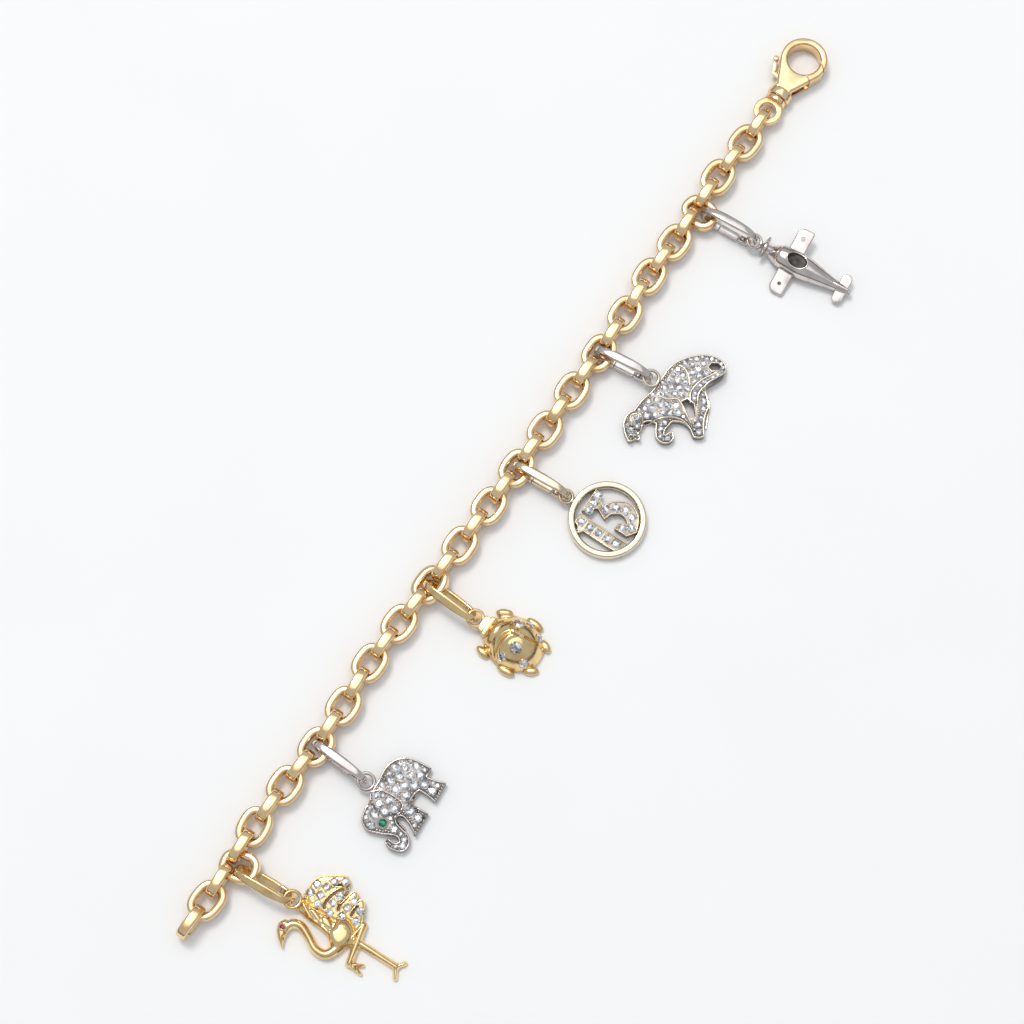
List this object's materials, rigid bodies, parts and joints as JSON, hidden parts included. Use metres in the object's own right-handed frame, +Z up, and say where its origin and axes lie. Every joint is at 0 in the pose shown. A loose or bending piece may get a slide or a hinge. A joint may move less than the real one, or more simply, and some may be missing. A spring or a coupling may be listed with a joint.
{
  "type": "charm bracelet",
  "caption": "Oval cable chain bracelet laid open, with a swivel trigger clasp and gem-set animal, numeral disc and aeroplane charms hung from hinged oval carriers.",
  "frame": {"origin": "under the middle of the laid-out bracelet's footprint, on the surface it rests on", "axes": "+X along the chain towards the clasp, charms towards -Y, +Z up from the surface"},
  "size_m": [0.1882, 0.0378, 0.005],
  "materials": {
    "yellow_gold": "polished",
    "white_gold": "polished",
    "pale_gold": "polished",
    "diamond": "faceted",
    "emerald": "faceted",
    "ruby": "faceted"
  },
  "bodies": {
    "bracelet": {"chain": "yellow_gold", "clasp_eye": "yellow_gold", "flamingo_carrier": "yellow_gold", "flamingo_charm": "yellow_gold", "elephant_carrier": "white_gold", "elephant_charm": "white_gold", "ladybird_carrier": "yellow_gold", "ladybird_charm": "yellow_gold", "medal_carrier": "pale_gold", "medal_charm": "pale_gold", "big_cat_carrier": "white_gold", "big_cat_charm": "white_gold", "plane_carrier": "white_gold", "plane_charm": "white_gold", "ruby_eye": "ruby", "emerald_eye": "emerald", "diamond_1": "diamond", "diamond_2": "diamond", "diamond_3": "diamond", "diamond_4": "diamond", "diamond_5": "diamond", "diamond_6": "diamond"},
    "hook": {"clasp_hook": "yellow_gold"},
    "trigger": {"clasp_trigger": "yellow_gold"},
    "flamingo_gate_body": {"flamingo_gate": "yellow_gold"},
    "elephant_gate_body": {"elephant_gate": "white_gold"},
    "ladybird_gate_body": {"ladybird_gate": "yellow_gold"},
    "medal_gate_body": {"medal_gate": "pale_gold"},
    "big_cat_gate_body": {"big_cat_gate": "white_gold"},
    "plane_gate_body": {"plane_gate": "white_gold"}
  },
  "joints": [
    {"name": "clasp_swivel", "type": "hinge", "parent": "bracelet", "child": "hook", "pos_m": [0.08149, 0.01415, 0.00197], "axis": [0.9994, 0, -0.0349], "continuous": true},
    {"name": "clasp_trigger_hinge", "type": "hinge", "parent": "hook", "child": "trigger", "pos_m": [0.08494, 0.01395, 0.00184], "axis": [0.0349, 0, 0.9994], "range_deg": [0, 20], "stiffness_Nm_per_rad": 0.003},
    {"name": "flamingo_gate_hinge", "type": "hinge", "parent": "bracelet", "child": "flamingo_gate_body", "pos_m": [-0.07841, 0.00447, 0.00082], "axis": [0.9029, 0.079, 0.4226], "range_deg": [0, 22], "stiffness_Nm_per_rad": 0.0005},
    {"name": "elephant_gate_hinge", "type": "hinge", "parent": "bracelet", "child": "elephant_gate_body", "pos_m": [-0.05663, 0.00606, 0.00055], "axis": [0.9984, -0.0209, -0.0523], "range_deg": [0, 22], "stiffness_Nm_per_rad": 0.0005},
    {"name": "ladybird_gate_hinge", "type": "hinge", "parent": "bracelet", "child": "ladybird_gate_body", "pos_m": [-0.02342, 0.00647, 0.00089], "axis": [0.8981, -0.0361, 0.4384], "range_deg": [0, 22], "stiffness_Nm_per_rad": 0.0005},
    {"name": "medal_gate_hinge", "type": "hinge", "parent": "bracelet", "child": "medal_gate_body", "pos_m": [0.00132, 0.00592, 0.00054], "axis": [0.9964, 0.0714, -0.0454], "range_deg": [0, 22], "stiffness_Nm_per_rad": 0.0005},
    {"name": "big_cat_gate_hinge", "type": "hinge", "parent": "bracelet", "child": "big_cat_gate_body", "pos_m": [0.0262, 0.00602, 0.00055], "axis": [0.9919, 0.1165, -0.0506], "range_deg": [0, 22], "stiffness_Nm_per_rad": 0.0005},
    {"name": "plane_gate_hinge", "type": "hinge", "parent": "bracelet", "child": "plane_gate_body", "pos_m": [0.05674, 0.00496, 0.00061], "axis": [0.9889, 0.0674, -0.1323], "range_deg": [0, 22], "stiffness_Nm_per_rad": 0.0005}
  ]
}
